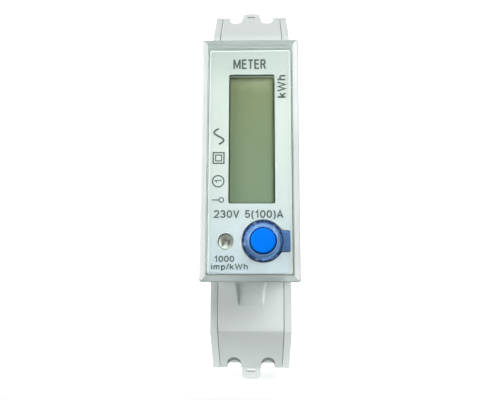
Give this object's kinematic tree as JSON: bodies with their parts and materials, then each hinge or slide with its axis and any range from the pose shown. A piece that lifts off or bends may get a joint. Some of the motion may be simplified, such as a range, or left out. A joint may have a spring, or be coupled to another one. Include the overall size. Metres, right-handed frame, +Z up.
{
  "type": "smart electric meter",
  "caption": "One-module DIN rail energy meter: tall clear-fronted nose with display, LED and round push button, terminal covers at both ends, rail clip behind.",
  "frame": {"origin": "centre of the plane that touches the rail face, at half the height of the 45 mm nose and half the module width", "axes": "+X to the right seen from the front, +Y towards the rail, +Z up along the rail's cross direction; the front faces -Y"},
  "size_m": [0.018, 0.0669, 0.0958],
  "materials": {
    "case_plastic": "fine moulded texture, cool light grey",
    "clear_cover": "clear polycarbonate",
    "panel_plastic": "white, satin",
    "label_film": "printed film, satin",
    "display_glass": "reflective liquid crystal cell, olive green",
    "blue_button": "bright blue, satin",
    "blue_clear": "translucent blue",
    "led_lens": "smoky clear epoxy",
    "zinc_steel": "zinc plated",
    "screw_steel": "nickel plated",
    "brass_bar": "drawn",
    "copper_bar": "copper, tinned ends",
    "shunt_alloy": "manganin, dull",
    "board": "green solder mask over glass laminate",
    "black_plastic": "moulded black",
    "switch_plastic": "moulded dark grey",
    "crystal_can": "plated can",
    "film_box": "yellow box",
    "capacitor_sleeve": "dark blue sleeve",
    "varistor_coat": "blue epoxy",
    "resistor_coat": "flameproof coat",
    "contact_rubber": "layered conductive rubber",
    "clip_plastic": "dark grey moulded"
  },
  "bodies": {
    "meter_case": {"case_left": "case_plastic", "case_right": "case_plastic", "case_rivet_lower_inner": "zinc_steel", "case_rivet_upper_inner": "zinc_steel", "case_rivet_lower_outer": "zinc_steel", "case_rivet_upper_outer": "zinc_steel", "clear_front_cover": "clear_cover", "front_panel": "panel_plastic", "face_label": "label_film", "button_bezel": "blue_clear", "tact_switch": "switch_plastic", "pulse_led": "led_lens", "lcd_glass": "display_glass", "lcd_reflector": "panel_plastic", "zebra_strip_left": "contact_rubber", "zebra_strip_right": "contact_rubber", "display_board": "board", "main_board": "board", "board_header": "black_plastic", "metering_chip": "black_plastic", "quartz_crystal": "crystal_can", "film_capacitor": "film_box", "electrolytic_capacitor": "capacitor_sleeve", "varistor": "varistor_coat", "dropper_resistor": "resistor_coat", "neutral_bar": "brass_bar", "line_bar_upper": "copper_bar", "line_bar_lower": "copper_bar", "shunt_element": "shunt_alloy", "sense_pin_upper": "copper_bar", "sense_pin_lower": "copper_bar", "neutral_pin": "copper_bar"},
    "button": {"push_button": "blue_button", "switch_plunger": "black_plastic"},
    "cover_upper": {"terminal_cover_upper": "case_plastic"},
    "cover_lower": {"terminal_cover_lower": "case_plastic"},
    "clip": {"rail_clip": "clip_plastic"},
    "line_screw_upper": {"line_screw_upper": "screw_steel"},
    "line_cage_upper": {"line_cage_upper": "zinc_steel"},
    "neutral_screw_upper": {"neutral_screw_upper": "screw_steel"},
    "neutral_cage_upper": {"neutral_cage_upper": "zinc_steel"},
    "line_screw_lower": {"line_screw_lower": "screw_steel"},
    "line_cage_lower": {"line_cage_lower": "zinc_steel"},
    "neutral_screw_lower": {"neutral_screw_lower": "screw_steel"},
    "neutral_cage_lower": {"neutral_cage_lower": "zinc_steel"}
  },
  "joints": [
    {"name": "button_press", "type": "slide", "parent": "meter_case", "child": "button", "axis": [0, 1, 0], "range_m": [0, 0.0005], "stiffness_N_per_m": 1500, "springref_m": -0.0005},
    {"name": "cover_upper_off", "type": "slide", "parent": "meter_case", "child": "cover_upper", "axis": [0, -1, 0], "range_m": [0, 0.04]},
    {"name": "cover_lower_off", "type": "slide", "parent": "meter_case", "child": "cover_lower", "axis": [0, -1, 0], "range_m": [0, 0.04]},
    {"name": "clip_release", "type": "slide", "parent": "meter_case", "child": "clip", "axis": [0, 0, -1], "range_m": [0, 0.0045], "stiffness_N_per_m": 1000, "springref_m": -0.002},
    {"name": "line_upper_turn", "type": "hinge", "parent": "meter_case", "child": "line_screw_upper", "pos_m": [-0.00395, -0.03, 0.0318], "axis": [0, 1, 0], "range_deg": [0, 2520]},
    {"name": "line_upper_clamp", "type": "slide", "parent": "meter_case", "child": "line_cage_upper", "axis": [0, -1, 0], "range_m": [0, 0.0056]},
    {"name": "neutral_upper_turn", "type": "hinge", "parent": "meter_case", "child": "neutral_screw_upper", "pos_m": [0.00395, -0.03, 0.0318], "axis": [0, 1, 0], "range_deg": [0, 2520]},
    {"name": "neutral_upper_clamp", "type": "slide", "parent": "meter_case", "child": "neutral_cage_upper", "axis": [0, -1, 0], "range_m": [0, 0.0056]},
    {"name": "line_lower_turn", "type": "hinge", "parent": "meter_case", "child": "line_screw_lower", "pos_m": [-0.00395, -0.03, -0.0318], "axis": [0, 1, 0], "range_deg": [0, 2520]},
    {"name": "line_lower_clamp", "type": "slide", "parent": "meter_case", "child": "line_cage_lower", "axis": [0, -1, 0], "range_m": [0, 0.0056]},
    {"name": "neutral_lower_turn", "type": "hinge", "parent": "meter_case", "child": "neutral_screw_lower", "pos_m": [0.00395, -0.03, -0.0318], "axis": [0, 1, 0], "range_deg": [0, 2520]},
    {"name": "neutral_lower_clamp", "type": "slide", "parent": "meter_case", "child": "neutral_cage_lower", "axis": [0, -1, 0], "range_m": [0, 0.0056]}
  ],
  "couplings": [
    {"joint": "line_upper_turn", "follows": "line_upper_clamp", "rad_per_m": 7854},
    {"joint": "neutral_upper_turn", "follows": "neutral_upper_clamp", "rad_per_m": 7854},
    {"joint": "line_lower_turn", "follows": "line_lower_clamp", "rad_per_m": 7854},
    {"joint": "neutral_lower_turn", "follows": "neutral_lower_clamp", "rad_per_m": 7854}
  ]
}
